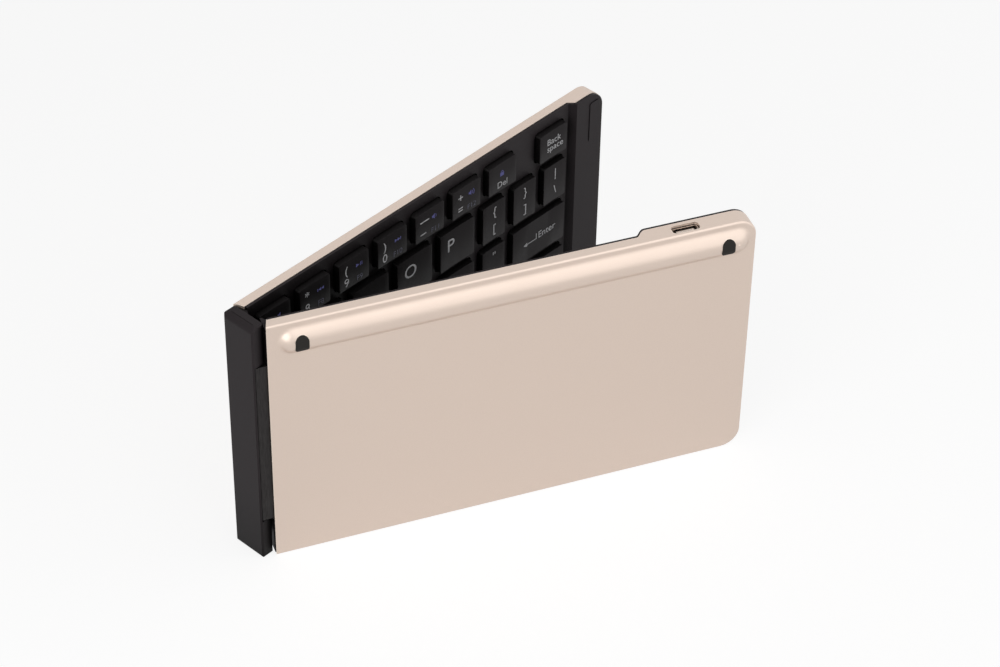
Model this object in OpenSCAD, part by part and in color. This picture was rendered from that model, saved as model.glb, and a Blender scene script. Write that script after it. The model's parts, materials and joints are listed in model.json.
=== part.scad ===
// Folding keyboard: two aluminium-backed halves on a double-pin spine.
// The model stands on its front edges with the left half swung open.
// +Z runs along the hinge pins, +X from the spine along the closed right half, +Y from left to right.

/* [Keys] */
// Width of a letter key cap
key_w = 13.5; // [12:0.1:14]
// Gap between letter key caps
key_gap = 3.1; // [2.8:0.05:4]
// Depth of a letter key cap
key_d = 12.9; // [12:0.1:15]
// Gap between two rows of key caps
row_gap = 2.7; // [2.4:0.05:4]
// Width of a number key cap
num_w = 11.1; // [10:0.1:11.6]
// Gap between number key caps
num_gap = 3.1; // [2.6:0.1:4]
// Depth of a number key cap
num_d = 9.5; // [8.5:0.1:12]
// Width of a narrow punctuation key cap
narrow_w = 9.1; // [8:0.1:10]
// Gap beside a narrow key cap
narrow_gap = 3.2; // [2.8:0.05:4]
// Travel of every key
key_travel = 1.3; // [0.8:0.1:1.6]
// Height of a key cap above the plate round it
cap_proud = 1.7; // [1.6:0.1:2.4]
// Corner radius of a key cap
cap_corner = 1; // [0.6:0.1:1.6]
// Inward slope of each cap side, from plate to top
cap_slope = 0.15; // [0.05:0.05:0.5]
// Depth of the finger dish in a cap
dish_depth = 0.15; // [0.05:0.05:0.3]
// Side clearance of a cap in its window
window_gap = 0.4; // [0.2:0.05:0.5]
// Reach of a cap's retaining flange under the plate
flange_reach = 0.45; // [0.3:0.05:0.5]
// Thickness of that flange
flange_t = 0.4; // [0.3:0.05:0.6]

/* [Halves] */
// Distance from the hinge end to the first cap
field_margin = 3.6; // [3.4:0.1:6]
// Distance from the front edge to the first row
front_margin = 4.25; // [2.6:0.05:6]
// Distance from the number row to the rear edge
rear_margin = 3.85; // [3:0.05:8]
// Length of the raised bar at the right half's outer end
bar_length = 12.4; // [10:0.1:24]
// Distance from the last right cap to that bar
bar_margin = 2.2; // [2:0.1:5]
// Distance from the last left cap to the raised block
block_margin = 2.1; // [1.5:0.1:4]
// Thickness of the back cover
cover_t = 0.7; // [0.5:0.05:0.9]
// Radius of the cover's outer corners
corner_r = 5.5; // [3:0.5:9]
// Rounding of the cover's long and outer back edges
edge_r = 0.6; // [0.3:0.05:0.6]
// Set-back of a half's hinge end at the height of the cover's wall
end_slant = 1; // [0.5:0.1:1.2]
// Height of the black frame above the cover's wall
lip = 0.8; // [0.6:0.05:1.2]
// Height of the raised block above the key tops
block_over_keys = 0.55; // [0.1:0.05:1]
// Height of the raised bar above the key tops
bar_over_keys = 0.05; // [0:0.05:0.6]
// Thickness of the steel base plate
plate_t = 0.3; // [0.2:0.05:0.6]
// Thickness of the rubber dome mat
mat_t = 0.2; // [0.15:0.05:0.5]

/* [Ridge and feet] */
// Width of the formed ridge on each back
ridge_w = 9.4; // [8:0.1:11]
// Height of the ridge
ridge_rise = 2.2; // [1.8:0.1:2.6]
// Concave radius where the ridge meets the back
ridge_fillet = 1.6; // [0.8:0.1:2]
// Distance from the ridge's centre line to the rear edge
ridge_inset = 6.1; // [5.9:0.1:8]
// Distance from the ridge to the hinge end
ridge_start = 2.4; // [1.2:0.1:6]
// Distance from the ridge to the outer end
ridge_stop = 1.3; // [1.2:0.1:6]
// Width of a rubber foot
foot_w = 3.6; // [3:0.1:5]
// Length of a rubber foot, up to its round end
foot_len = 4.8; // [4:0.1:6]
// Height of a foot above the ridge
foot_proud = 0.2; // [0.1:0.05:0.6]
// Distance from each end of a half to its foot
foot_inset = 8.8; // [8.5:0.1:14]

/* [Spine and hinges] */
// Thickness of the spine
spine_t = 3.9; // [3.7:0.1:6]
// Corner radius of the spine's broad face
spine_corner = 0.5; // [0.3:0.1:2]
// Rounding between that face and the spine's rear end
spine_round = 1.7; // [0.6:0.1:1.8]
// Rounding between that face and the spine's front end
spine_front_round = 0.6; // [0.3:0.1:1.2]
// Chamfer along the spine's outer edges
spine_chamfer = 0.5; // [0.2:0.1:0.6]
// Length of the solid block at each end of the spine
end_block = 13; // [8:0.5:20]
// Radius of a hinge pin
pin_r = 0.5; // [0.4:0.05:0.6]
// Running clearance round a hinge pin
pin_clear = 0.05; // [0.02:0.01:0.1]
// Wall of the barrel round a hinge pin
barrel_wall = 0.4; // [0.3:0.05:0.5]
// Gap between the spine and the closed halves
hinge_gap = 0.3; // [0.3:0.05:0.6]
// Gap between the raised blocks when closed
close_gap = 0.4; // [0.2:0.05:1]
// Distance by which the closed halves stand out beside the spine
side_proud = 0.65; // [0.3:0.05:0.7]
// Opening angle of the left half, from closed
left_open = 26.7; // [0:0.1:90]

/* [Charging port] */
// Width of the cut-out in the rear wall
port_w = 7.8; // [7.6:0.1:9]
// Height of that cut-out
port_h = 3.1; // [2.6:0.05:3.2]
// Distance from its centre to the outer end
port_inset = 19.6; // [16:0.1:22]
// Length of the charging socket
socket_len = 5.2; // [4:0.1:7]
// Thickness of the circuit board
board_t = 0.8; // [0.6:0.1:1.2]

/* [Hidden] */
$fn = 48;
eps = 0.01;
fit = 0.1;

// Heights in a half, from its back face
plate_z = cover_t;
mat_z = plate_z + plate_t;
mat_top = mat_z + mat_t;
press_clear = 0.1;
flange_z = mat_top + press_clear + key_travel;
frame_z = flange_z + flange_t;
frame_top = frame_z + lip;
cap_top = frame_top + cap_proud;
block_top = cap_top + block_over_keys;
block_z = block_top - lip;
bar_top = cap_top + bar_over_keys;
bar_z = bar_top - lip;
half_tall = block_top + 1;

// Key cap shape
cap_wall = 0.9;
cap_roof = 0.8;
cap_straight = 0.1;
window_corner = cap_corner + window_gap;
dome_clear = 0.5;
dome_r = 2.8;
dome_top_r = 1.7;
dome_wall = 0.3;
dome_h = cap_top - cap_roof - key_travel - dome_clear - mat_top;

// Key field
key_pitch = key_w + key_gap;
num_pitch = num_w + num_gap;
row_pitch = key_d + row_gap;
number_row = 4;
half_depth = front_margin + number_row * row_pitch + num_d + rear_margin;
letter_end = field_margin + 5 * key_pitch - key_gap;
right_field_end = letter_end + 3 * (narrow_w + narrow_gap);
left_field_end = field_margin + 7 * num_pitch - num_gap;
bar_start = right_field_end + bar_margin;
half_length = bar_start + bar_length;
block_start = left_field_end + block_margin;
bar_step = 1.7;
block_step = 2.9;
step_skew = 0.75;

// Inside of a half
skirt_in = cover_t + fit;
skirt_t = 0.7;
frame_inset = 0.15;
inner_in = skirt_in + skirt_t;
bay_start = block_start + block_step + 0.8;
bay_end = half_length - inner_in - 1.2;
battery_depth = 48;
battery_r = 1;
board_gap = 2;

// Spine and hinge places, with x from the spine's outer face
notch_clear = 0.15;
spine_lip = 0.4;
barrel_r = pin_r + pin_clear + barrel_wall;
hinge_x = spine_lip + notch_clear + barrel_r;
hinge_y = hinge_x - side_proud;
half_x = spine_t + hinge_gap;
spine_w = block_top + bar_top + close_gap - 2 * side_proud;
notch_deep = hinge_y + barrel_r + notch_clear;
inner_chamfer = 0.5;
spine_wall = 1.2;
web_t = 0.6;
ledge = 0.35;
spine_cover_t = 0.8;
pin_end = 2.5;
pin_fit = 0.02;
end_gap = 0.3;
end_line_w = 0.15;
end_line_deep = 0.12;
end_line_in = 1.3;
leaf_len = half_depth - 2 * (end_block + end_gap);
leaf_z = end_block + end_gap;
leaf_in = 1.9;
leaf_low = 0.8;
leaf_high = 0.7;
tongue_in = 9;

// Ridge and feet
ridge_d = half_depth - ridge_inset;
ridge_arc = (pow(ridge_w / 2, 2) + pow(ridge_rise, 2)) / (2 * ridge_rise) - ridge_fillet;
hollow_in = 0.9;
foot_pocket = 0.35;
foot_swell = 0.15;
foot_corner = 0.7;

// Charging socket
port_corner = 1.1;
socket_w = port_w - 0.4;
socket_h = port_h - 0.5;
socket_wall = 0.3;
socket_lift = 0.35;
socket_u = half_length - port_inset;
socket_z = mat_z + socket_lift + socket_h / 2;
tongue_w = 5;
tongue_t = 0.8;

// Stop pad on the right half's raised bar
pad_w = 3.8;
pad_len = 13.2;
pad_proud = 0.2;
pad_corner = 0.8;
pad_side = 1.6;
pad_rear = 2.8;

gold = [0.87, 0.8, 0.745];
plastic = [0.2, 0.19, 0.2];
cap_black = [0.15, 0.15, 0.16];

function letter_u(i) = field_margin + i * key_pitch;
function narrow_u(i) = letter_end + narrow_gap + i * (narrow_w + narrow_gap);
function row_d(row) = front_margin + row * row_pitch;
function row_depth(row) = row == number_row ? num_d : key_d;

// A key is [name, row from the front, distance from the hinge end, width]
function run(names, row, start, pitch, w) = [
    for (i = [0 : len(names) - 1]) [names[i], row, start + i * pitch, w]
];
enter_w = right_field_end - narrow_u(1);
arrow_u = narrow_u(1);
space_w = 2 * key_pitch - key_gap;
NUMBER_ROW = ["key_7", "key_8", "key_9", "key_0", "key_minus", "key_equals", "key_delete"];
BRACKET_KEYS = ["key_bracket_left", "key_bracket_right", "key_backslash"];
RIGHT_KEYS = concat(
    run(NUMBER_ROW, 4, field_margin, num_pitch, num_w),
    [["key_backspace", 4, right_field_end - num_w, num_w]],
    run(["key_y", "key_u", "key_i", "key_o", "key_p"], 3, field_margin, key_pitch, key_w),
    run(BRACKET_KEYS, 3, narrow_u(0), narrow_w + narrow_gap, narrow_w),
    run(["key_h", "key_j", "key_k", "key_l", "key_semicolon"], 2, field_margin, key_pitch, key_w),
    [["key_quote", 2, narrow_u(0), narrow_w]],
    [["key_enter", 2, narrow_u(1), enter_w]],
    run(["key_n", "key_m", "key_comma", "key_period", "key_slash"], 1, field_margin, key_pitch, key_w),
    [["key_up", 1, narrow_u(0), narrow_w]],
    [["key_shift_right", 1, narrow_u(1), enter_w]],
    [["key_space_right", 0, field_margin, space_w]],
    run(["key_alt_right", "key_ctrl_right", "key_left"], 0, letter_u(2), key_pitch, key_w),
    [["key_down", 0, narrow_u(0), narrow_w]],
    [["key_right", 0, arrow_u, key_w]]
);
edge_w = left_field_end - letter_u(5);
LEFT_KEYS = concat(
    run(["six", "five", "four", "three", "two", "one", "escape"], 4, field_margin, num_pitch, num_w),
    run(["t", "r", "e", "w", "q"], 3, field_margin, key_pitch, key_w),
    [["tab", 3, letter_u(5), edge_w]],
    run(["g", "f", "d", "s", "a"], 2, field_margin, key_pitch, key_w),
    [["caps", 2, letter_u(5), edge_w]],
    run(["b", "v", "c", "x", "z"], 1, field_margin, key_pitch, key_w),
    [["shift", 1, letter_u(5), edge_w]],
    [["space", 0, field_margin, space_w]],
    run(["alt", "start", "control"], 0, letter_u(2), key_pitch, key_w),
    [["fn", 0, letter_u(5), edge_w]]
);
LEFT_ROWS = [
    for (row = [0 : number_row]) [str("left_keys_row_", number_row - row + 1), row]
];

// ---------- Placing ----------

// Turns the spine's own x and y, measured from its outer face and its left side, into the part's frame.
module in_spine() {
    translate([-spine_t / 2, -spine_w / 2, 0])
        children();
}

// Lays a half on its hinge. Its own x runs to the outer end, y to the rear and z up from the back face.
module in_right_half() {
    in_spine()
        translate([half_x, spine_w + side_proud, 0])
            rotate([90, 0, 0])
                children();
}

module in_left_half() {
    in_spine()
        translate([hinge_x, hinge_y, 0])
            rotate([0, 0, -left_open])
                translate([half_x - hinge_x, -side_proud - hinge_y, 0])
                    mirror([0, 1, 0])
                        rotate([90, 0, 0])
                            children();
}

// ---------- Shared shapes ----------

module rounded_rect(w, d, r) {
    translate([r, 0])
        square([w - 2 * r, d]);
    translate([0, r])
        square([w, d - 2 * r]);
    for (x = [r, w - r], y = [r, d - r])
        translate([x, y])
            circle(r);
}

// Outline of a half, with its two outer corners rounded, drawn in by a distance.
module outline(inset) {
    r = corner_r - inset;
    translate([inset, inset])
        square([half_length - inset - corner_r, half_depth - 2 * inset]);
    translate([inset, corner_r])
        square([half_length - 2 * inset, half_depth - 2 * corner_r]);
    for (y = [corner_r, half_depth - corner_r])
        translate([half_length - corner_r, y])
            circle(r);
}

// Everything under the line of the wall's top, raised by a height.
// The line climbs from the key field to the wall of the raised block or bar.
module under_wall(raise, start, step, high, bends) {
    climb = [
        for (i = [0 : bends]) [
            start + step * i / bends,
            frame_z + raise + (high - frame_z) * (1 - cos(180 * pow(i / bends, step_skew))) / 2
        ]
    ];
    translate([0, half_depth + 1, 0])
        rotate([90, 0, 0])
            linear_extrude(half_depth + 2)
                polygon(concat(
                    [[-1, -half_tall], [-1, frame_z + raise]],
                    climb,
                    [[half_length + 1, high + raise], [half_length + 1, -half_tall]]
                ));
}

module under_left_wall(raise) {
    under_wall(raise, block_start, block_step, block_z, 8);
}

module under_right_wall(raise) {
    under_wall(raise, bar_start, bar_step, bar_z, 1);
}

// Everything past a half's hinge end, moved in by a distance. The end leans back above the back face.
module past_hinge_end(inset) {
    lean = end_slant * half_tall / frame_z;
    translate([inset, half_depth + 1, 0])
        rotate([90, 0, 0])
            linear_extrude(half_depth + 2)
                polygon([
                    [0, -half_tall],
                    [0, 0],
                    [lean, half_tall],
                    [half_length + 1, half_tall],
                    [half_length + 1, -half_tall]
                ]);
}

// Space inside the edges of a half above a height, drawn in by a distance.
module within_half(inset, low) {
    intersection() {
        translate([0, 0, low])
            linear_extrude(half_tall)
                outline(inset);
        past_hinge_end(inset);
    }
}

// Side view of a slab whose lower edges are rounded.
module soft_slab(length) {
    translate([0, edge_r])
        square([length, half_tall - edge_r]);
    translate([edge_r, 0])
        square([length - 2 * edge_r, half_tall]);
    for (x = [edge_r, length - edge_r])
        translate([x, edge_r])
            circle(edge_r);
}

// One end of a slab, to turn round an outer corner.
module soft_corner() {
    translate([0, edge_r])
        square([corner_r, half_tall - edge_r]);
    square([corner_r - edge_r, half_tall]);
    translate([corner_r - edge_r, edge_r])
        circle(edge_r);
}

// Solid block of a half, taller than its walls. Its back edges are rounded, but not at the hinge end.
module cover_blank() {
    intersection() {
        rotate([90, 0, 90])
            linear_extrude(half_length)
                soft_slab(half_depth);
        translate([-2 * edge_r, half_depth, 0])
            rotate([90, 0, 0])
                linear_extrude(half_depth)
                    soft_slab(half_length + 2 * edge_r);
        union() {
            cube([half_length - corner_r, half_depth, half_tall]);
            translate([0, corner_r, 0])
                cube([half_length, half_depth - 2 * corner_r, half_tall]);
            for (y = [corner_r, half_depth - corner_r])
                translate([half_length - corner_r, y, 0])
                    rotate_extrude()
                        intersection() {
                            soft_corner();
                            square([corner_r, half_tall]);
                        }
        }
    }
}

// Half of the ridge's cross-section: a round crest running out in a concave fillet.
module ridge_half() {
    half_w = ridge_w / 2;
    drop = ridge_arc - ridge_rise;
    share = ridge_arc / (ridge_arc + ridge_fillet);
    meet = [share * half_w, share * (ridge_fillet + drop) - drop];
    intersection() {
        translate([0, -drop])
            circle(ridge_arc);
        translate([0, meet[1]])
            square([ridge_arc, ridge_rise]);
    }
    difference() {
        polygon([[0, -cover_t / 2], [half_w, -cover_t / 2], [half_w, 0], meet, [0, ridge_rise - cover_t]]);
        translate([half_w, ridge_fillet])
            circle(ridge_fillet);
    }
}

// Half of the hollow behind the ridge.
module hollow_half() {
    half_w = ridge_w / 2 - hollow_in;
    arc = (pow(half_w, 2) + pow(ridge_rise, 2)) / (2 * ridge_rise);
    intersection() {
        translate([0, ridge_rise - arc])
            circle(arc);
        translate([0, -cover_t / 2])
            square([arc, ridge_rise + cover_t]);
    }
}

// Sweeps half a cross-section along the ridge and round both of its ends.
module along_ridge() {
    near = ridge_start + ridge_w / 2;
    far = half_length - ridge_stop - ridge_w / 2;
    translate([0, ridge_d, 0])
        mirror([0, 0, 1]) {
            for (u = [near, far])
                translate([u, 0, 0])
                    rotate_extrude()
                        children();
            translate([near, 0, 0])
                rotate([90, 0, 90])
                    linear_extrude(far - near) {
                        children();
                        mirror([1, 0])
                            children();
                    }
        }
}

function foot_places() = [foot_inset, half_length - foot_inset];

// Outline of a foot, with a round end to the rear and soft corners at the front, drawn out by a distance.
module foot_outline(grow) {
    r = foot_w / 2 + grow;
    round_end = (foot_len - foot_w) / 2;
    front = foot_len / 2 + grow;
    translate([0, round_end])
        circle(r);
    translate([-r, -front])
        rounded_rect(2 * r, front + round_end + foot_corner, foot_corner);
}

// Each foot's outline within a layer that follows the ridge's crest, between two heights from it.
module crest_layer(low, high, grow) {
    intersection() {
        for (u = foot_places())
            translate([u, ridge_d, -2 * ridge_rise])
                linear_extrude(2 * ridge_rise)
                    foot_outline(grow);
        translate([0, ridge_d, ridge_arc - ridge_rise])
            rotate([90, 0, 90])
                linear_extrude(half_length)
                    difference() {
                        circle(ridge_arc + high);
                        circle(ridge_arc + low);
                    }
    }
}

// ---------- Halves ----------

// Formed aluminium cover: floor, low walls, ridge, foot pockets and the slot for the hinge leaf.
module back_cover() {
    difference() {
        union() {
            cover_blank();
            along_ridge()
                ridge_half();
        }
        within_half(cover_t, cover_t);
        translate([0, 0, cover_t])
            along_ridge()
                hollow_half();
        crest_layer(-foot_pocket, 1, fit / 2);
        translate([-1, end_block, cover_t])
            cube([
                1 + cover_t + end_slant,
                half_depth - 2 * end_block,
                hinge_y + side_proud + leaf_high + fit - cover_t
            ]);
    }
}

// Black frame: plate with a window for each key, rim on the cover's wall and skirt down inside it.
module key_frame(keys) {
    difference() {
        union() {
            difference() {
                within_half(frame_inset, 0);
                children(0);
            }
            difference() {
                within_half(skirt_in, mat_z);
                within_half(inner_in, 0);
            }
        }
        for (k = keys)
            translate([k[2] - window_gap, row_d(k[1]) - window_gap, 0])
                linear_extrude(half_tall)
                    rounded_rect(k[3] + 2 * window_gap, row_depth(k[1]) + 2 * window_gap, window_corner);
        translate([-1, end_block, 0])
            cube([
                1 + inner_in + end_slant,
                half_depth - 2 * end_block,
                hinge_y + side_proud + leaf_high + fit
            ]);
    }
}

// Steel plate on the cover's floor, cut away over the hinge leaf's tongue.
module base_plate() {
    intersection() {
        translate([0, 0, plate_z])
            linear_extrude(plate_t)
                difference() {
                    outline(skirt_in);
                    translate([0, end_block])
                        square([tongue_in + fit, half_depth - 2 * end_block]);
                }
        past_hinge_end(skirt_in);
    }
}

// Rubber mat with one hollow dome under each cap.
module dome_mat(keys, field_end) {
    edge = inner_in + fit;
    difference() {
        union() {
            translate([leaf_in + 2 * fit, edge, mat_z])
                cube([field_end - leaf_in, half_depth - 2 * edge, mat_t]);
            for (k = keys)
                translate([k[2] + k[3] / 2, row_d(k[1]) + row_depth(k[1]) / 2, mat_z])
                    cylinder(r1 = dome_r, r2 = dome_top_r, h = mat_t + dome_h);
        }
        for (k = keys)
            translate([k[2] + k[3] / 2, row_d(k[1]) + row_depth(k[1]) / 2, mat_z - eps])
                cylinder(
                    r1 = dome_r - dome_wall,
                    r2 = dome_top_r - dome_wall,
                    h = mat_t + dome_h - dome_wall
                );
    }
}

// Two rubber feet in the ridge's pockets, each curved like the ridge and ground flat along its crest.
module feet() {
    intersection() {
        crest_layer(-foot_pocket, foot_proud + foot_swell, 0);
        translate([0, 0, -ridge_rise - foot_proud])
            cube([half_length, half_depth, 2 * ridge_rise]);
    }
}

// Hinge leaf: barrel on the pin, plate into the half and a thin tongue on the cover's floor.
module hinge_leaf() {
    pin_u = hinge_x - half_x;
    pin_h = hinge_y + side_proud;
    translate([0, leaf_z + leaf_len, 0])
        rotate([90, 0, 0])
            linear_extrude(leaf_len)
                difference() {
                    union() {
                        translate([pin_u, pin_h])
                            circle(barrel_r);
                        translate([pin_u, pin_h - leaf_low])
                            square([leaf_in - pin_u, leaf_low + leaf_high]);
                        translate([0, plate_z])
                            square([tongue_in, plate_t]);
                    }
                    translate([pin_u, pin_h])
                        circle(pin_r + pin_clear);
                }
}

// ---------- Key caps ----------

// Trapezoid side view of a cap: straight through its window, then leaning in.
module cap_side(w) {
    shoulder = frame_top + cap_straight;
    polygon([
        [0, flange_z],
        [w, flange_z],
        [w, shoulder],
        [w - cap_slope, cap_top],
        [cap_slope, cap_top],
        [0, shoulder]
    ]);
}

// Finger dish over a cap. On a wide cap it is two round ends with a flat stretch between them.
module dish(w, d) {
    span = min(w, key_w);
    dish_r = (pow(span / 2, 2) + pow(dish_depth, 2)) / (2 * dish_depth);
    ends = w > key_w ? [span / 2, w - span / 2] : [w / 2];
    for (x = ends)
        translate([x, -1, cap_top + dish_r - dish_depth])
            rotate([-90, 0, 0])
                cylinder(r = dish_r, h = d + 2, $fn = 720);
    if (w > key_w)
        translate([span / 2, -1, cap_top - dish_depth])
            cube([w - span, d + 2, 1]);
}

// Hollow cap with four leaning sides, a shallow dish and a retaining flange below the plate.
module key_cap(w, d) {
    out = window_gap + flange_reach;
    difference() {
        union() {
            intersection() {
                translate([0, 0, flange_z])
                    linear_extrude(half_tall)
                        rounded_rect(w, d, cap_corner);
                translate([0, d, 0])
                    rotate([90, 0, 0])
                        linear_extrude(d)
                            cap_side(w);
                rotate([90, 0, 90])
                    linear_extrude(w)
                        cap_side(d);
            }
            translate([-out, -out, flange_z])
                linear_extrude(flange_t)
                    rounded_rect(w + 2 * out, d + 2 * out, cap_corner);
        }
        dish(w, d);
        translate([cap_wall, cap_wall, flange_z - 1])
            cube([w - 2 * cap_wall, d - 2 * cap_wall, cap_top - cap_roof - flange_z + 1]);
    }
}

module seated_cap(k) {
    translate([k[2], row_d(k[1]), 0])
        key_cap(k[3], row_depth(k[1]));
}

module right_key(k) {
    color(cap_black)
        in_right_half()
            seated_cap(k);
}

module left_key_row(row) {
    color(cap_black)
        in_left_half()
            for (k = LEFT_KEYS)
                if (k[1] == row)
                    seated_cap(k);
}

// ---------- Sub-parts ----------

// Side view of the spine, with its outer edge rounded at both ends.
module spine_side() {
    intersection() {
        union() {
            rounded_rect(2 * spine_t, half_depth, spine_round);
            rounded_rect(2 * spine_t, half_depth / 2, spine_front_round);
        }
        square([spine_t, half_depth]);
    }
}

// Broad channel with a solid block at each end and a notch down each side for the hinge barrels.
module spine_shell() {
    notch_len = half_depth - 2 * end_block;
    pocket_y = notch_deep + web_t;
    color(plastic)
        in_spine()
            difference() {
                intersection() {
                    linear_extrude(half_depth)
                        polygon([
                            [spine_chamfer, 0],
                            [spine_t - inner_chamfer, 0],
                            [spine_t, inner_chamfer],
                            [spine_t, spine_w - inner_chamfer],
                            [spine_t - inner_chamfer, spine_w],
                            [spine_chamfer, spine_w],
                            [0, spine_w - spine_chamfer],
                            [0, spine_chamfer]
                        ]);
                    rotate([90, 0, 90])
                        linear_extrude(spine_t)
                            rounded_rect(spine_w, half_depth, spine_corner);
                    translate([0, spine_w, 0])
                        rotate([90, 0, 0])
                            linear_extrude(spine_w)
                                spine_side();
                }
                translate([spine_round, end_line_in, half_depth - end_line_deep])
                    cube([end_line_w, spine_w - 2 * end_line_in, 1]);
                for (y = [-1, spine_w - notch_deep])
                    translate([spine_lip, y, end_block])
                        cube([spine_t, notch_deep + 1, notch_len]);
                translate([spine_t - spine_cover_t, pocket_y - ledge, end_block])
                    cube([spine_t, spine_w - 2 * (pocket_y - ledge), notch_len]);
                translate([spine_wall, pocket_y, end_block + ledge])
                    cube([spine_t, spine_w - 2 * pocket_y, notch_len - 2 * ledge]);
                for (y = [hinge_y, spine_w - hinge_y])
                    translate([hinge_x, y, pin_end - fit])
                        cylinder(r = pin_r + pin_fit, h = half_depth - 2 * (pin_end - fit));
            }
}

// Flat strip that closes the channel on the inner side.
module spine_cover() {
    y = notch_deep + web_t - ledge + fit;
    color(plastic)
        in_spine()
            translate([spine_t - spine_cover_t, y, end_block + fit])
                cube([spine_cover_t, spine_w - 2 * y, half_depth - 2 * (end_block + fit)]);
}

module hinge_pin(y) {
    color("silver")
        in_spine()
            translate([hinge_x, y, pin_end])
                cylinder(r = pin_r, h = half_depth - 2 * pin_end);
}

module left_hinge_pin() {
    hinge_pin(hinge_y);
}

module right_hinge_pin() {
    hinge_pin(spine_w - hinge_y);
}

module left_hinge_leaf() {
    color("dimgray")
        in_left_half()
            hinge_leaf();
}

module right_hinge_leaf() {
    color("dimgray")
        in_right_half()
            hinge_leaf();
}

module left_back_cover() {
    color(gold)
        in_left_half()
            difference() {
                intersection() {
                    back_cover();
                    under_left_wall(0);
                    past_hinge_end(0);
                }
                translate([socket_u - port_w / 2, half_depth + 1, socket_z - port_h / 2])
                    rotate([90, 0, 0])
                        linear_extrude(2 * cover_t + 1)
                            rounded_rect(port_w, port_h, port_corner);
            }
}

module right_back_cover() {
    color(gold)
        in_right_half()
            intersection() {
                back_cover();
                under_right_wall(0);
                past_hinge_end(0);
            }
}

module left_frame() {
    color(plastic)
        in_left_half()
            difference() {
                intersection() {
                    key_frame(LEFT_KEYS)
                        under_left_wall(0);
                    under_left_wall(lip);
                }
                translate([socket_u - socket_w / 2 - fit, half_depth - 2 * inner_in, 0])
                    cube([socket_w + 2 * fit, 2 * inner_in - cover_t, socket_z + socket_h / 2 + fit]);
            }
}

module right_frame() {
    color(plastic)
        in_right_half() {
            intersection() {
                key_frame(RIGHT_KEYS)
                    under_right_wall(0);
                under_right_wall(lip);
            }
            translate([half_length - pad_side - pad_w, half_depth - pad_rear - pad_len, bar_z])
                linear_extrude(lip + pad_proud)
                    rounded_rect(pad_w, pad_len, pad_corner);
        }
}

module left_base_plate() {
    color("lightgray")
        in_left_half()
            base_plate();
}

module right_base_plate() {
    color("lightgray")
        in_right_half()
            base_plate();
}

module left_dome_mat() {
    color("gray")
        in_left_half()
            dome_mat(LEFT_KEYS, left_field_end);
}

module right_dome_mat() {
    color("gray")
        in_right_half()
            dome_mat(RIGHT_KEYS, right_field_end);
}

module left_feet() {
    color("black")
        in_left_half()
            feet();
}

module right_feet() {
    color("black")
        in_right_half()
            feet();
}

// Flat cell in the raised block, beside the circuit board.
module battery() {
    tall = block_z - mat_z - 4 * fit;
    color("slategray")
        in_left_half()
            translate([bay_start, inner_in + board_gap, mat_z])
                linear_extrude(tall)
                    rounded_rect(bay_end - bay_start, battery_depth, battery_r);
}

// Board behind the battery, slotted so that the charging socket sinks into it.
module circuit_board() {
    board_d = inner_in + 2 * board_gap + battery_depth;
    color("darkgreen")
        in_left_half()
            translate([0, 0, mat_z])
                linear_extrude(board_t)
                    difference() {
                        intersection() {
                            translate([bay_start, board_d])
                                square([bay_end - bay_start, half_depth]);
                            outline(inner_in + fit);
                        }
                        translate([socket_u - socket_w / 2 - fit, half_depth - cover_t - fit - socket_len])
                            square([socket_w + 2 * fit, socket_len + 1]);
                    }
}

// Side view of the socket, wider towards the keys.
module socket_outline(inset) {
    w = socket_w / 2 - inset;
    h = socket_h / 2 - inset;
    polygon([[-w, h], [w, h], [w, -h / 5], [0.75 * w, -h], [-0.75 * w, -h], [-w, -h / 5]]);
}

// Pressed metal shell with a contact tongue, just inside the rear wall's cut-out.
module charging_socket() {
    color("silver")
        in_left_half()
            translate([socket_u, half_depth - cover_t - fit, socket_z])
                rotate([90, 0, 0]) {
                    difference() {
                        linear_extrude(socket_len)
                            socket_outline(0);
                        translate([0, 0, -1])
                            linear_extrude(socket_len + 1 - socket_wall)
                                socket_outline(socket_wall);
                    }
                    translate([-tongue_w / 2, -tongue_t / 2, socket_wall])
                        cube([tongue_w, tongue_t, socket_len - 2 * socket_wall + eps]);
                }
}

spine_shell();
spine_cover();
left_hinge_pin();
right_hinge_pin();
left_hinge_leaf();
right_hinge_leaf();
left_back_cover();
right_back_cover();
left_frame();
right_frame();
left_base_plate();
right_base_plate();
left_dome_mat();
right_dome_mat();
left_feet();
right_feet();
battery();
circuit_board();
charging_socket();
for (r = LEFT_ROWS) left_key_row(r[1]);
for (k = RIGHT_KEYS) right_key(k);
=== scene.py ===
"""Folding keyboard: materials, key legends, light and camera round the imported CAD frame."""

import json
import math

import bmesh
import bpy
from mathutils import Matrix, Vector
from mathutils.bvhtree import BVHTree

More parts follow.
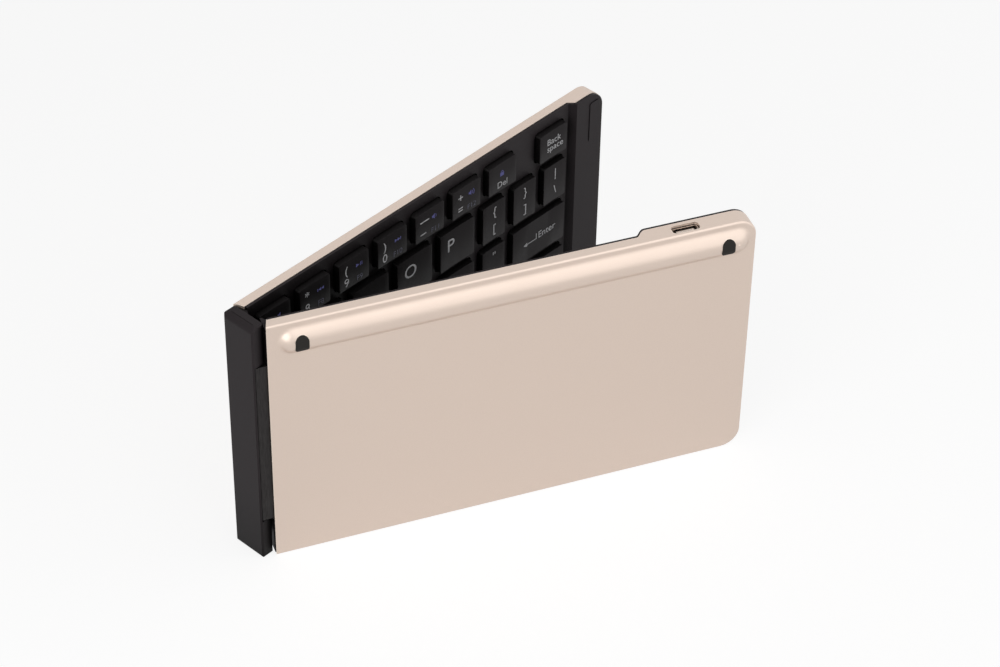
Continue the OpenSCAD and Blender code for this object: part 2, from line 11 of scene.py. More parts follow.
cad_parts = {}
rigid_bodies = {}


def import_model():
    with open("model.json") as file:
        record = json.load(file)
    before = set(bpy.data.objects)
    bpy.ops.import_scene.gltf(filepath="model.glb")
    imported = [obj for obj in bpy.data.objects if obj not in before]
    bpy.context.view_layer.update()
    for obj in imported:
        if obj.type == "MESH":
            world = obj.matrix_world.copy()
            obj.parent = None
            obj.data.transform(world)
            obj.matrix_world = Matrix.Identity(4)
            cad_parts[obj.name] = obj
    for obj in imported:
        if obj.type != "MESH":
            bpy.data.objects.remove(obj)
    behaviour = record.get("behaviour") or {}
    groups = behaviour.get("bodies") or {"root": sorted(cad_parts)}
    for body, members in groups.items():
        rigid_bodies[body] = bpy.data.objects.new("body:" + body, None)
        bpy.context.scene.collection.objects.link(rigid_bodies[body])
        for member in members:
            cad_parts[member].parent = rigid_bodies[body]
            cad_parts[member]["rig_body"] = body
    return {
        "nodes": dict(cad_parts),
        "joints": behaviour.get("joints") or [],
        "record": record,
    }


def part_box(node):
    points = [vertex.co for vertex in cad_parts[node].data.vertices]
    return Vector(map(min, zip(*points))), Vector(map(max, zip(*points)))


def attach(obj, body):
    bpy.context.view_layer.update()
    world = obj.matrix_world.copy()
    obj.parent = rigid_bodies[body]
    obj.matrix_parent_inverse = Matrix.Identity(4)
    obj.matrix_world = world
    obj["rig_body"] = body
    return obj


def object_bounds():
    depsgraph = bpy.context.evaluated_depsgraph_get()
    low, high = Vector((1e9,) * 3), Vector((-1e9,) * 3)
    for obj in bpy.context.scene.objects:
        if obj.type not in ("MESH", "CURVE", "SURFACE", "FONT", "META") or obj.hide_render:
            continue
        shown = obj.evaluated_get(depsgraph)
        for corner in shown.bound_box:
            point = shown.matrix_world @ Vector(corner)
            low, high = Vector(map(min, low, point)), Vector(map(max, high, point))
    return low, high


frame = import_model()
cad_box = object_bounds()

MM = 0.001
NODES = frame["nodes"]
JOINTS = {joint["name"]: joint for joint in frame["joints"]}

# ---------- Where the halves lie ----------

# Sheet thickness of the metal backs
COVER_T = 0.7 * MM
# Distance by which a cap's flange reaches past its sides, under the frame
CAP_FLANGE = 0.85 * MM


def turn(joint, degrees):
    """The motion of a body that a hinge turns by an angle."""
    pin = Vector(joint["pos_m"])
    spin = Matrix.Rotation(math.radians(degrees), 4, Vector(joint["axis"]))
    return Matrix.Translation(pin) @ spin @ Matrix.Translation(-pin)


def flat_frame(x_axis, out, origin):
    """A half's own frame: x to the typist's right, y to the rear and z out of the keys."""
    rear = Vector((0, 0, 1))
    axes = Matrix((x_axis, rear, out)).transposed().to_4x4()
    return Matrix.Translation(origin) @ axes


HINGE_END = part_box("right_back_cover")[0].x
BACK_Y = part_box("right_base_plate")[1].y + COVER_T
LEFT_OPEN = -JOINTS["left_hinge"]["range_deg"][0]
RIGHT = flat_frame(Vector((1, 0, 0)), Vector((0, -1, 0)), Vector((HINGE_END, BACK_Y, 0)))
LEFT_CLOSED = flat_frame(Vector((-1, 0, 0)), Vector((0, 1, 0)), Vector((HINGE_END, -BACK_Y, 0)))
LEFT = turn(JOINTS["left_hinge"], LEFT_OPEN) @ LEFT_CLOSED


# ---------- Material helpers ----------


def linear(r, g, b):
    """A colour given in display values from 0 to 255, as the shaders take it."""
    def one(c):
        c /= 255
        return c / 12.92 if c <= 0.04045 else ((c + 0.055) / 1.055) ** 2.4

    return (one(r), one(g), one(b), 1)


class Shade:
    """A material being built round its Principled shader."""

    def __init__(self, name, metallic=0.0, specular=0.5):
        self.material = bpy.data.materials.new(name)
        self.material.use_nodes = True
        self.nodes = self.material.node_tree.nodes
        self.links = self.material.node_tree.links
        self.principled = self.nodes["Principled BSDF"]
        self.principled.inputs["Metallic"].default_value = metallic
        self.principled.inputs["Specular IOR Level"].default_value = specular
        self.place = self.nodes.new("ShaderNodeTexCoord").outputs["Object"]

    def node(self, kind, **settings):
        """Adds a node with some settings."""
        made = self.nodes.new(kind)
        for key, value in settings.items():
            setattr(made, key, value)
        return made

    def noise(self, grain, detail=2, stretch=(1, 1, 1)):
        """Soft noise whose features are about one grain wide."""
        mapping = self.node("ShaderNodeMapping")
        mapping.inputs["Scale"].default_value = stretch
        self.links.new(self.place, mapping.inputs["Vector"])
        made = self.node("ShaderNodeTexNoise")
        made.inputs["Scale"].default_value = 1 / grain
        made.inputs["Detail"].default_value = detail
        self.links.new(mapping.outputs["Vector"], made.inputs["Vector"])
        return made.outputs["Fac"]

    def spread(self, value, low, high, start=0.3, end=0.7):
        """A value from start to end, carried over to the range from low to high."""
        made = self.node("ShaderNodeMapRange")
        made.inputs["From Min"].default_value = start
        made.inputs["From Max"].default_value = end
        made.inputs["To Min"].default_value = low
        made.inputs["To Max"].default_value = high
        self.links.new(value, made.inputs["Value"])
        return made.outputs["Result"]

    def maths(self, operation, a, b):
        """Two values joined by an operation."""
        made = self.node("ShaderNodeMath", operation=operation)
        self.links.new(a, made.inputs[0])
        self.links.new(b, made.inputs[1])
        return made.outputs["Value"]

    def mix(self, share, a, b):
        """Two colours mixed by a share."""
        made = self.node("ShaderNodeMix", data_type="RGBA")
        self.links.new(share, made.inputs["Factor"])
        for name, colour in (("A", a), ("B", b)):
            socket = next(i for i in made.inputs if i.name == name and i.type == "RGBA")
            if isinstance(colour, tuple):
                socket.default_value = colour
            else:
                self.links.new(colour, socket)
        return next(o for o in made.outputs if o.type == "RGBA")

    def edges(self, radius):
        """A share that is 1 along sharp edges and 0 on open faces."""
        bevel = self.node("ShaderNodeBevel", samples=6)
        bevel.inputs["Radius"].default_value = radius
        geometry = self.node("ShaderNodeNewGeometry")
        dot = self.node("ShaderNodeVectorMath", operation="DOT_PRODUCT")
        self.links.new(bevel.outputs["Normal"], dot.inputs[0])
        self.links.new(geometry.outputs["Normal"], dot.inputs[1])
        return self.spread(dot.outputs["Value"], 1, 0, 0.8, 0.98)

    def shade_share(self, reach, least, start, end):
        """A share for painted shade, from ambient occlusion: the least deep in a gap and 1 where little
        stands within reach.
        """
        occlusion = self.node("ShaderNodeAmbientOcclusion", samples=8)
        occlusion.inputs["Distance"].default_value = reach
        return self.spread(occlusion.outputs["AO"], least, 1, start, end)

    def bump(self, height, depth, strength=0.5):
        """A relief of the surface, no deeper than the given depth."""
        made = self.node("ShaderNodeBump")
        made.inputs["Distance"].default_value = depth
        made.inputs["Strength"].default_value = strength
        self.links.new(height, made.inputs["Height"])
        self.links.new(made.outputs["Normal"], self.principled.inputs["Normal"])

    def drive(self, colour, roughness):
        """Links the shader's colour and roughness to values that vary over the surface."""
        self.links.new(colour, self.principled.inputs["Base Color"])
        self.links.new(roughness, self.principled.inputs["Roughness"])


def anodised():
    """Satin champagne aluminium: blasted grain, slow gloss changes, and polished edges whose lighter colour
    is also a painted edge highlight.
    """
    s = Shade("cover_metal", metallic=0.6)
    grain = s.noise(0.12 * MM)
    smudge = s.noise(9 * MM, detail=4)
    tint = s.mix(s.spread(grain, 0, 1), linear(228, 209, 195), linear(234, 216, 203))
    s.drive(
        # Polished edges, lightened in colour as a painted highlight along every sharp edge
        colour=s.mix(s.edges(0.35 * MM), tint, linear(244, 230, 216)),
        roughness=s.maths("ADD", s.spread(grain, 0.36, 0.42), s.spread(smudge, -0.02, 0.03)),
    )
    s.bump(grain, 0.004 * MM)
    return s.material


# Reach of the painted shade in the V between the two halves, and the near black colour of that painted
# shade
VALLEY_SHADE_REACH = 40 * MM
PAINTED_SHADE_COLOUR = linear(6, 5, 5)


def moulded(name, dark, light, grain_size, roughness, specular=0.3, worn=None, shade_reach=None):
    """Moulded matt plastic or rubber with a fine grain.

    It may have worn edges of a given colour, and painted shade that darkens it where something stands
    within a reach, in gaps and in the V between the halves.
    """
    s = Shade(name, specular=specular)
    grain = s.noise(grain_size, detail=3)
    cloud = s.noise(15 * MM, detail=3)
    tint = s.mix(s.spread(cloud, 0, 1), linear(*dark), linear(*light))
    if worn:
        rubbed = s.maths("MULTIPLY", s.edges(0.2 * MM), s.spread(s.noise(4 * MM, detail=3), 0.4, 1))
        tint = s.mix(rubbed, tint, linear(*worn))
    # Painted shade: ambient occlusion darkens the colour towards near black in gaps between parts and deep
    # in the V
    if shade_reach:
        near = s.shade_share(shade_reach, least=0.05, start=0.4, end=0.9)
        valley_shade = s.shade_share(VALLEY_SHADE_REACH, least=0.1, start=0.4, end=0.85)
        tint = s.mix(s.maths("MULTIPLY", near, valley_shade), PAINTED_SHADE_COLOUR, tint)
    fine = s.spread(grain, roughness - 0.05, roughness + 0.05)
    s.drive(colour=tint, roughness=s.maths("ADD", fine, s.spread(cloud, -0.03, 0.03)))
    s.bump(grain, 0.012 * MM)
    return s.material


def metal(name, dark, light, roughness, stretch=(1, 1, 1)):
    """Bare or plated metal with its drawing marks, which a scale below 1 draws out along an axis."""
    s = Shade(name, metallic=1.0)
    marks = s.noise(0.3 * MM, detail=4, stretch=stretch)
    s.drive(
        colour=s.mix(s.spread(marks, 0, 1), linear(*dark), linear(*light)),
        roughness=s.spread(marks, roughness - 0.06, roughness + 0.08),
    )
    s.bump(marks, 0.004 * MM, strength=0.4)
    return s.material


def ink(name, colour):
    """Printing ink, a little faded where fingers rub it."""
    s = Shade(name, specular=0.2)
    wear = s.noise(0.25 * MM)
    fresh = linear(*colour)
    faded = tuple(0.8 * c for c in fresh[:3]) + (1,)
    s.drive(colour=s.mix(s.spread(wear, 0, 1), fresh, faded), roughness=s.spread(wear, 0.55, 0.7))
    return s.material


MATERIALS = {
    "cover_metal": anodised(),
    # black_plastic and key_plastic get painted shade in gaps and in the V between the halves
    "black_plastic": moulded(
        "black_plastic",
        dark=(47, 42, 44),
        light=(53, 48, 50),
        grain_size=0.15 * MM,
        roughness=0.46,
        specular=0.1,
        worn=(66, 61, 62),
        shade_reach=5 * MM,
    ),
    "key_plastic": moulded(
        "key_plastic",
        dark=(45, 42, 43),
        light=(49, 46, 47),
        grain_size=0.1 * MM,
        roughness=0.5,
        specular=0.09,
        worn=(54, 52, 53),
        shade_reach=6 * MM,
    ),
    "hinge_metal": metal("hinge_metal", (44, 42, 42), (60, 58, 58), 0.45, stretch=(1, 1, 0.1)),
    "pin_steel": metal("pin_steel", (150, 150, 154), (180, 180, 184), 0.3, stretch=(1, 1, 0.05)),
    "plate_steel": metal("plate_steel", (160, 160, 163), (185, 185, 187), 0.35, stretch=(0.1, 0.1, 1)),
    "dome_rubber": moulded("dome_rubber", (132, 132, 137), (150, 150, 155), 0.3 * MM, roughness=0.6),
    "foot_rubber": moulded("foot_rubber", (28, 26, 24), (36, 33, 30), 0.2 * MM, roughness=0.7),
    "cell_wrap": moulded("cell_wrap", (150, 154, 160), (168, 172, 178), 0.8 * MM, roughness=0.35),
    "board": moulded("board", (12, 52, 30), (16, 66, 38), 0.4 * MM, roughness=0.4),
    "socket_metal": metal("socket_metal", (182, 172, 164), (206, 195, 186), 0.25),
}
INKS = [
    ink("ink_white", (230, 230, 232)),
    ink("ink_blue", (122, 122, 186)),
    ink("ink_grey", (120, 120, 134)),
]
WHITE, BLUE, GREY = range(3)

for part in frame["record"]["subparts"]:
    cad = NODES[part["node"]]
    cad.data.materials.clear()
    cad.data.materials.append(MATERIALS[part["material_slot"]])


# ---------- Rounded edges ----------

# Width of the broken edges, and the distance within which the weld before it joins points
CAP_EDGE = 0.18 * MM
CAP_WELD = 0.002 * MM


def soften(cad):
    """Breaks the sharp edges of a node's caps, as moulding does."""
    weld = cad.modifiers.new("weld", "WELD")
    weld.merge_threshold = CAP_WELD
    bevel = cad.modifiers.new("bevel", "BEVEL")
    bevel.width = CAP_EDGE
    bevel.segments = 2
    bevel.limit_method = "ANGLE"
    bevel.angle_limit = math.radians(30)
    bevel.harden_normals = True


for name in NODES:
    if name.startswith(("key_", "left_keys_row")):
        soften(NODES[name])


# ---------- Corner lips ----------

# Section of a lip, in mm along its half from the hinge end and up from the half's back face
LIP_SECTION = ((-0.12, 0.4), (0.1, 0.4), (1.23, 3.8), (0.4, 5.1), (-0.12, 5.1))
# Where the two lips of a half start and end, in mm from its front edge
LIP_SPANS = ((0.8, 12.6), (67.4, 79.2))


def prism(mesh, section, start, end, place, outward):
    """Adds a closed prism with a section in x and z, from one y to another, all in mm."""
    def ring(y):
        return [mesh.verts.new(place @ (Vector((outward * x, y, z)) * MM)) for x, z in section]

    front, rear = ring(start), ring(end)
    mesh.faces.new(front)
    mesh.faces.new(rear)
    for i in range(len(section)):
        mesh.faces.new((front[i - 1], front[i], rear[i], rear[i - 1]))


def corner_lips(side, place, outward):
    """Black lips over the hinge end of a half, beside the spine's end blocks, which close the gap there."""
    lips = bmesh.new()
    for start, end in LIP_SPANS:
        prism(lips, LIP_SECTION, start, end, place, outward)
    bmesh.ops.recalc_face_normals(lips, faces=lips.faces)
    data = bpy.data.meshes.new(side + "_corner_lips")
    lips.to_mesh(data)
    lips.free()
    data.materials.append(MATERIALS["black_plastic"])
    made = bpy.data.objects.new(side + "_corner_lips", data)
    bpy.context.scene.collection.objects.link(made)
    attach(made, NODES[side + "_frame"]["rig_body"])


corner_lips("right", RIGHT, 1)
corner_lips("left", LEFT, -1)


# ---------- Key legends ----------

# Depth of a plate of ink under the cap's top, and its height over it
INK_SUNK = 0.01 * MM
INK_PROUD = 0.02 * MM
# A height over a half's back face that clears every cap
ABOVE_CAPS = 20 * MM
# Distances within which two points of a cap, or of the printing, are one
SAME_POINT = 0.001 * MM
SAME_PRINT_POINT = 0.0001 * MM


def flat_text(words):
    """The points and faces of a word at size 1, as a thin closed plate."""
    curve = bpy.data.curves.new("legend", "FONT")
    curve.body = words
    curve.extrude = 1.0
    curve.resolution_u = 4
    made = bpy.data.objects.new("legend", curve)
    bpy.context.scene.collection.objects.link(made)
    bpy.context.view_layer.update()
    mesh = bpy.data.meshes.new_from_object(made.evaluated_get(bpy.context.evaluated_depsgraph_get()))
    points = [v.co.copy() for v in mesh.vertices]
    faces = [tuple(p.vertices) for p in mesh.polygons]
    bpy.data.objects.remove(made)
    bpy.data.curves.remove(curve)
    bpy.data.meshes.remove(mesh)
    return points, faces


# Height of a capital at size 1
CAPITAL = max(p.y for p in flat_text("H")[0])
ARC_STEPS = 8


class Legend:
    """The printing on the caps of one body: closed plates of ink that follow the caps' tops."""

    def __init__(self, node, place):
        self.node = node
        self.place = place
        self.out = place.to_3x3() @ Vector((0, 0, 1))
        self.top = BVHTree.FromObject(NODES[node], bpy.context.evaluated_depsgraph_get())
        self.mesh = bmesh.new()
        self.corner = Vector((0, 0))

    def start_key(self, left, rear):
        """Moves on to the cap whose rear left corner is given, in metres in the half's frame."""
        self.corner = Vector((left, rear))

    def plate(self, points, faces, colour):
        """Adds a plate. Points are in mm from the cap's rear left corner, with z over 0 on its face."""
        verts = []
        for x, y, z in points:
            above = self.place @ Vector((self.corner.x + x * MM, self.corner.y + y * MM, ABOVE_CAPS))
            hit = self.top.ray_cast(above, -self.out)[0]
            if hit is None:
                raise ValueError(f"a legend on {self.node} runs off its cap")
            verts.append(self.mesh.verts.new(hit + self.out * (INK_PROUD if z > 0 else -INK_SUNK)))
        for face in faces:
            self.mesh.faces.new([verts[i] for i in face]).material_index = colour

    def shape(self, outline, colour):
        """A plate with the given outline, counterclockwise."""
        n = len(outline)
        points = [(x, y, 1) for x, y in outline] + [(x, y, -1) for x, y in outline]
        sides = [(i, i + n, (i + 1) % n + n, (i + 1) % n) for i in range(n)]
        self.plate(points, [tuple(range(n)), tuple(reversed(range(n, 2 * n)))] + sides, colour)

    def bar(self, a, b, width, colour):
        """A straight stroke between two points."""
        a, b = Vector(a), Vector(b)
        side = (b - a).normalized().orthogonal() * width / 2
        self.shape([a - side, b - side, b + side, a + side], colour)

    def arc(self, centre, radius, start, end, width, colour):
        """A band along an arc, with its angles in degrees."""
        angles = [math.radians(start + (end - start) * i / ARC_STEPS) for i in range(ARC_STEPS + 1)]
        ways = [Vector((math.cos(t), math.sin(t))) for t in angles]
        outer = [Vector(centre) + way * (radius + width / 2) for way in ways]
        inner = [Vector(centre) + way * (radius - width / 2) for way in ways]
        self.shape(outer + inner[::-1], colour)

    def ring(self, centre, radius, width, colour):
        """A full circle, as two half bands."""
        self.arc(centre, radius, 0, 180, width, colour)
        self.arc(centre, radius, 180, 360, width, colour)

    def text(self, words, x, y, height, colour=WHITE, centred=True):
        """Words with capitals of the given height. y is their baseline, and x their middle or start."""
        points, faces = flat_text(words)
        scale = height / CAPITAL
        low, high = min(p.x for p in points), max(p.x for p in points)
        shift = x - scale * ((low + high) / 2 if centred else low)
        self.plate([(shift + p.x * scale, y + p.y * scale, p.z) for p in points], faces, colour)

    def finish(self):
        """Makes the printing an object that rides on its caps' body."""
        data = bpy.data.meshes.new("legend_" + self.node)
        bmesh.ops.remove_doubles(self.mesh, verts=self.mesh.verts, dist=SAME_PRINT_POINT)
        self.mesh.to_mesh(data)
        self.mesh.free()
        for colour in INKS:
            data.materials.append(colour)
        made = bpy.data.objects.new("legend_" + self.node, data)
        bpy.context.scene.collection.objects.link(made)
        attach(made, NODES[self.node]["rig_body"])


# Places on a cap in mm from its rear left corner, with y negative towards the front.
# A letter and an F label have x, the y of their baseline and a height.
# In a pair, each of the two signs has a baseline and a height.
LETTER = (3.1, -7.1, 4.1)
PAIR_X = 4.9
PAIR = ((-4.8, 2.8), (-10.5, 2.8))
NUMBER_X = 2.9
NUMBER_PAIR = ((-4.6, 2.6), (-8.5, 2.6))
F_LABEL = (7.75, -8.6, 1.6)
ICON_X, ICON_Y = 7.75, -3.5
ARROW_MIDDLE = Vector((5.0, -5.4))


def icon_points(*points):
    """Points given from the middle of a number cap's icon."""
    return [(ICON_X + x, ICON_Y + y) for x, y in points]


def letter(sign):
    """The drawing of a large letter."""
    return lambda ink_on: ink_on.text(sign, *LETTER, centred=False)


def pair(upper, lower, x=PAIR_X, rows=PAIR):
    """The drawing of two signs, one over the other."""
    def draw(ink_on):
        for sign, (y, height) in zip((upper, lower), rows):
            ink_on.text(sign, x, y, height)
    return draw


def number(upper, lower, label, icon, x=NUMBER_X):
    """The drawing of a number key: two signs, an icon and its F label."""
    def draw(ink_on):
        pair(upper, lower, x, NUMBER_PAIR)(ink_on)
        ink_on.text(label, *F_LABEL, GREY)
        icon(ink_on)
    return draw


def word(words, x=3.0, y=-5.0, height=1.7):
    """The drawing of a small word, with x at its start."""
    return lambda ink_on: ink_on.text(words, x, y, height, centred=False)


def triangle(ink_on, x, size, pointing=1):
    """A triangle that points right (1) or left (-1), with x from the icon's middle."""
    tip, back = x + pointing * size / 2, x - pointing * size / 2
    corners = icon_points((back, size / 2), (back, -size / 2), (tip, 0))
    ink_on.shape(corners[::pointing], BLUE)


def stop_bar(ink_on, x, half_height):
    """An upright stroke of an icon, with x from the icon's middle."""
    ink_on.bar(*icon_points((x, -half_height), (x, half_height)), width=0.22, colour=BLUE)


def speaker(waves):
    """The drawing of a loudspeaker with some sound waves."""
    def draw(ink_on):
        back, neck, front = -1.2, -0.8, -0.2
        lower = [(back, -0.35), (neck, -0.35), (front, -0.9)]
        upper = [(x, -y) for x, y in reversed(lower)]
        ink_on.shape(icon_points(*lower, *upper), BLUE)
        for i in range(waves):
            ink_on.arc(*icon_points((-0.3, 0)), 0.65 + 0.55 * i, -50, 50, width=0.2, colour=BLUE)
    return draw


def skip(pointing):
    """The drawing of a track skip, forwards (1) or back (-1)."""
    def draw(ink_on):
        for shift in (-0.6, 0.4):
            triangle(ink_on, pointing * shift, 1.0, pointing)
        stop_bar(ink_on, pointing * 1.05, 0.5)
    return draw


def play(ink_on):
    triangle(ink_on, -0.7, 1.2)
    for x in (0.3, 0.8):
        stop_bar(ink_on, x, 0.6)


def sun(radius):
    """The drawing of a sun for the screen's brightness."""
    def draw(ink_on):
        ink_on.ring(*icon_points((0, 0)), radius, width=0.2, colour=BLUE)
        for i in range(8):
            turned = math.radians(45 * i)
            way = Vector((math.cos(turned), math.sin(turned)))
            ray = icon_points(way * (radius + 0.25), way * (radius + 0.6))
            ink_on.bar(*ray, width=0.18, colour=BLUE)
    return draw


def lens(ink_on):
    ink_on.ring(*icon_points((-0.2, 0.2)), 0.6, width=0.2, colour=BLUE)
    ink_on.bar(*icon_points((0.25, -0.25), (0.9, -0.9)), width=0.25, colour=BLUE)


def house(ink_on):
    walls = [(-0.7, 0), (-0.7, -0.8), (0.7, -0.8), (0.7, 0)]
    ink_on.shape(icon_points((-1.1, 0), *walls, (1.1, 0), (0, 1)), BLUE)


def padlock(ink_on, x, y):
    """A padlock round the middle of its body."""
    ink_on.shape([(x - 0.75, y - 0.8), (x + 0.75, y - 0.8), (x + 0.75, y + 0.3), (x - 0.75, y + 0.3)], BLUE)
    ink_on.arc((x, y + 0.4), 0.45, 0, 180, width=0.22, colour=BLUE)


def delete(ink_on):
    padlock(ink_on, 5.5, -3.8)
    ink_on.text("Del", 5.7, -8.3, 2.0)


def backspace(ink_on):
    ink_on.text("Back", 3.3, -4.6, 2.0, centred=False)
    ink_on.text("space", 3.3, -6.9, 2.0, centred=False)


def minus(ink_on):
    ink_on.bar((2.1, -3.3), (5.4, -3.3), width=0.35, colour=WHITE)
    ink_on.bar((2.1, -7.4), (4.3, -7.4), width=0.35, colour=WHITE)
    ink_on.text("F11", *F_LABEL, GREY)
    speaker(1)(ink_on)


def arrow(direction):
    """The drawing of a cursor arrow."""
    way = Vector(direction)
    side = Vector((-way.y, way.x))

    def draw(ink_on):
        ink_on.bar(ARROW_MIDDLE - way * 1.6, ARROW_MIDDLE + way * 1.2, width=0.3, colour=WHITE)
        tip, back = ARROW_MIDDLE + way * 1.7, ARROW_MIDDLE + way * 0.5
        ink_on.shape([back - side * 0.8, tip, back + side * 0.8], WHITE)
    return draw


def enter(ink_on):
    ink_on.text("Enter", 10.9, -7.5, 2.2, centred=False)
    ink_on.bar((5.6, -7.2), (10.1, -7.2), width=0.3, colour=WHITE)
    ink_on.bar((9.95, -7.1), (9.95, -5.4), width=0.3, colour=WHITE)
    ink_on.shape([(4.7, -7.2), (6.2, -7.9), (6.2, -6.5)], WHITE)


def blank(ink_on):
    """A cap without printing."""


LEGENDS = {
    "key_7": number("&", "7", "F7", speaker(0)),
    "key_8": number("*", "8", "F8", skip(-1)),
    "key_9": number("(", "9", "F9", play),
    "key_0": number(")", "0", "F10", skip(1)),
    "key_minus": minus,
    "key_equals": number("+", "=", "F12", speaker(2), x=3.4),
    "key_delete": delete,
    "key_backspace": backspace,
    "key_bracket_left": pair("{", "["),
    "key_bracket_right": pair("}", "]"),
    "key_backslash": pair("|", "\\"),
    "key_semicolon": pair(":", ";"),
    "key_quote": pair('"', "'"),
    "key_enter": enter,
    "key_comma": pair("<", ","),
    "key_period": pair(">", "."),
    "key_slash": pair("?", "/"),
    "key_up": arrow((0, 1)),
    "key_shift_right": word("Shift", y=-6.3, height=1.9),
    "key_space_right": blank,
    "key_alt_right": word("Alt", height=1.9),
    "key_ctrl_right": word("Ctrl", height=1.9),
    "key_left": arrow((-1, 0)),
    "key_down": arrow((0, -1)),
    "key_right": arrow((1, 0)),
}
LEGENDS.update({"key_" + sign: letter(sign.upper()) for sign in "yuiophjklnm"})
LEFT_LEGENDS = {
    "left_keys_row_1": [
        word("Esc", x=2.6, y=-4.0),
        number("!", "1", "F1", house),
        number("@", "2", "F2", lens),
        number("#", "3", "F3", sun(0.35)),
        number("$", "4", "F4", sun(0.6)),
        number("%", "5", "F5", skip(-1)),
        number("^", "6", "F6", skip(1)),
    ],
    "left_keys_row_2": [word("Tab")] + [letter(sign) for sign in "QWERT"],
    "left_keys_row_3": [word("Caps")] + [letter(sign) for sign in "ASDFG"],
    "left_keys_row_4": [word("Shift")] + [letter(sign) for sign in "ZXCVB"],
    "left_keys_row_5": [word(name) for name in ("Fn", "Ctrl", "Start", "Alt")] + [blank],
}


def pieces(mesh):
    """The points of a mesh in one set for each piece that hangs together."""
    left_over, found = set(mesh.verts), []
    while left_over:
        piece, waiting = set(), [left_over.pop()]
        while waiting:
            vert = waiting.pop()
            piece.add(vert)
            near = {edge.other_vert(vert) for edge in vert.link_edges} & left_over
            left_over -= near
            waiting.extend(near)
        found.append(piece)
    return found


def caps(node, place):
    """The rear left corner of each cap in a node, in its half's frame, from left to right."""
    mesh = bmesh.new()
    mesh.from_mesh(NODES[node].data)
    bmesh.ops.remove_doubles(mesh, verts=mesh.verts, dist=SAME_POINT)
    flat = place.inverted()
    corners = []
    for piece in pieces(mesh):
        points = [flat @ vert.co for vert in piece]
        corners.append((min(p.x for p in points) + CAP_FLANGE, max(p.y for p in points) - CAP_FLANGE))
    mesh.free()
    return sorted(corners)


def print_legends(node, place, drawings):
    """Prints a node's caps, from left to right."""
    legend = Legend(node, place)
    for (left, rear), draw in zip(caps(node, place), drawings, strict=True):
        legend.start_key(left, rear)
        draw(legend)
    if legend.mesh.faces:
        legend.finish()


for node, draw in LEGENDS.items():
    print_legends(node, RIGHT, [draw])
for node, drawings in LEFT_LEGENDS.items():
    print_legends(node, LEFT, drawings)


# ---------- Floor, light and camera ----------

# Strength of the light that the surroundings cast on the object
SOFT_LIGHT = 0.18
# The floor as light sees it, and its diffuse part and glow as the camera sees it
FLOOR_PALE = 0.35
FLOOR_SHADED = 0.24
FLOOR_GLOW = 0.84
FLOOR_SIZE = 8
FLOOR_DROP = 0.02 * MM

# Each lamp's place from the object's middle and its size in metres, with its power in watts
LAMPS = {
    "overhead": dict(offset=(-0.15, -0.25, 0.9), size=0.8, power=0.6),
    "front": dict(offset=(0.14, -0.4, 0.3), size=0.95, power=1.75),
    "side": dict(offset=(-0.5, -0.1, 0.2), size=0.4, power=0.9),
}

# The photo's camera, fitted to the straight edges of the two halves
LENS_MM = 109.69
SENSOR_MM = 36
CAMERA_PLACE = (-0.38822, -0.44314, 0.5769)
CAMERA_TURN_DEG = (49.47, -0.778, -46.88)


def grey(value):
    return (value, value, value, 1)


def seen_share(nodes, links):
    """1 for rays from the camera and for reflections, 0 for light that falls on the object."""
    path = nodes.new("ShaderNodeLightPath")
    share = path.outputs["Is Camera Ray"]
    for name in ("Is Glossy Ray", "Is Transmission Ray"):
        both = nodes.new("ShaderNodeMath")
        both.operation = "MAXIMUM"
        links.new(share, both.inputs[0])
        links.new(path.outputs[name], both.inputs[1])
        share = both.outputs["Value"]
    return share


def make_world():
    """White to the camera and in reflections, and a soft light on everything else."""
    world = bpy.data.worlds.new("studio")
    bpy.context.scene.world = world
    world.use_nodes = True
    nodes, links = world.node_tree.nodes, world.node_tree.links
    soft = nodes["Background"]
    soft.inputs["Color"].default_value = grey(1)
    soft.inputs["Strength"].default_value = SOFT_LIGHT
    white = nodes.new("ShaderNodeBackground")
    white.inputs["Color"].default_value = grey(1)
    white.inputs["Strength"].default_value = 1
    mix = nodes.new("ShaderNodeMixShader")
    links.new(seen_share(nodes, links), mix.inputs["Fac"])
    links.new(soft.outputs["Background"], mix.inputs[1])
    links.new(white.outputs["Background"], mix.inputs[2])
    links.new(mix.outputs["Shader"], nodes["World Output"].inputs["Surface"])


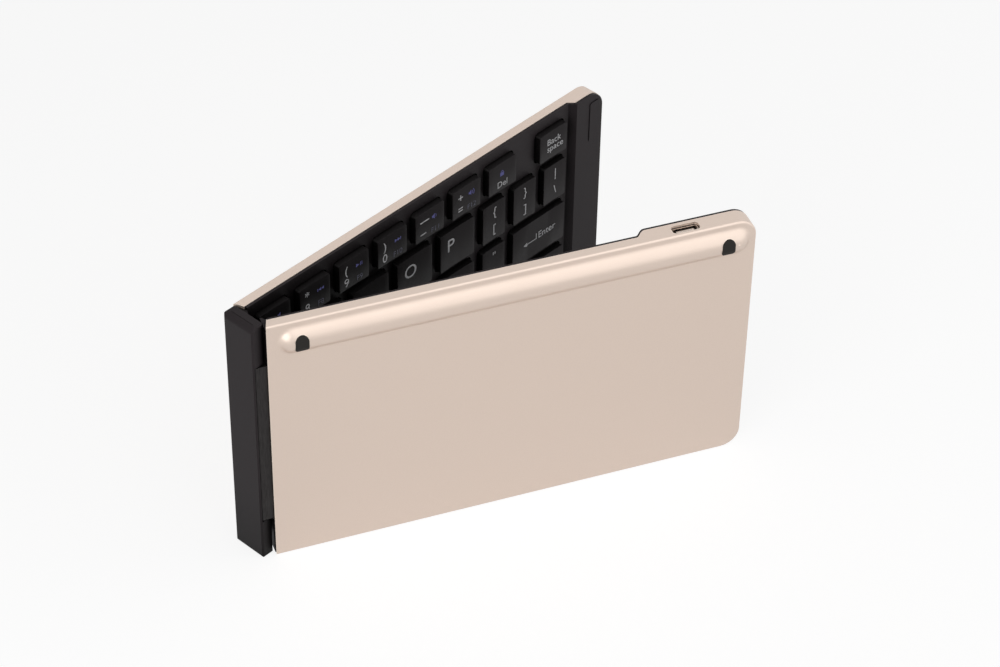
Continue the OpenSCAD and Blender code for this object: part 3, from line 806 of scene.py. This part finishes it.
def make_floor():
    """A pale floor that shows white, yet keeps the object's soft shadow."""
    material = bpy.data.materials.new("floor")
    material.use_nodes = True
    nodes, links = material.node_tree.nodes, material.node_tree.links
    nodes.remove(nodes["Principled BSDF"])
    pale = nodes.new("ShaderNodeBsdfDiffuse")
    pale.inputs["Color"].default_value = grey(FLOOR_PALE)
    shaded = nodes.new("ShaderNodeBsdfDiffuse")
    shaded.inputs["Color"].default_value = grey(FLOOR_SHADED)
    glow = nodes.new("ShaderNodeEmission")
    glow.inputs["Strength"].default_value = FLOOR_GLOW
    seen = nodes.new("ShaderNodeAddShader")
    links.new(shaded.outputs["BSDF"], seen.inputs[0])
    links.new(glow.outputs["Emission"], seen.inputs[1])
    mix = nodes.new("ShaderNodeMixShader")
    links.new(seen_share(nodes, links), mix.inputs["Fac"])
    links.new(pale.outputs["BSDF"], mix.inputs[1])
    links.new(seen.outputs["Shader"], mix.inputs[2])
    links.new(mix.outputs["Shader"], nodes["Material Output"].inputs["Surface"])
    bpy.ops.mesh.primitive_plane_add(size=FLOOR_SIZE, location=(0, 0, -FLOOR_DROP))
    floor = bpy.context.object
    floor.name = "floor"
    floor.data.materials.append(material)


def make_lamp(name, aim, offset, size, power):
    """A square lamp at a place from the point at which it aims."""
    data = bpy.data.lights.new(name, "AREA")
    data.size = size
    data.energy = power
    lamp = bpy.data.objects.new(name, data)
    lamp.location = aim + Vector(offset)
    lamp.rotation_mode = "QUATERNION"
    lamp.rotation_quaternion = (-Vector(offset)).to_track_quat("-Z", "Y")
    bpy.context.scene.collection.objects.link(lamp)


def make_camera():
    data = bpy.data.cameras.new("camera")
    data.lens = LENS_MM
    data.sensor_width = SENSOR_MM
    data.clip_start = 0.05
    camera = bpy.data.objects.new("camera", data)
    camera.location = CAMERA_PLACE
    camera.rotation_euler = [math.radians(angle) for angle in CAMERA_TURN_DEG]
    bpy.context.scene.collection.objects.link(camera)
    bpy.context.scene.camera = camera


make_world()
make_floor()
middle = (cad_box[0] + cad_box[1]) / 2
for name, lamp in LAMPS.items():
    make_lamp(name, middle, **lamp)
make_camera()
bpy.context.scene.view_settings.view_transform = "Standard"
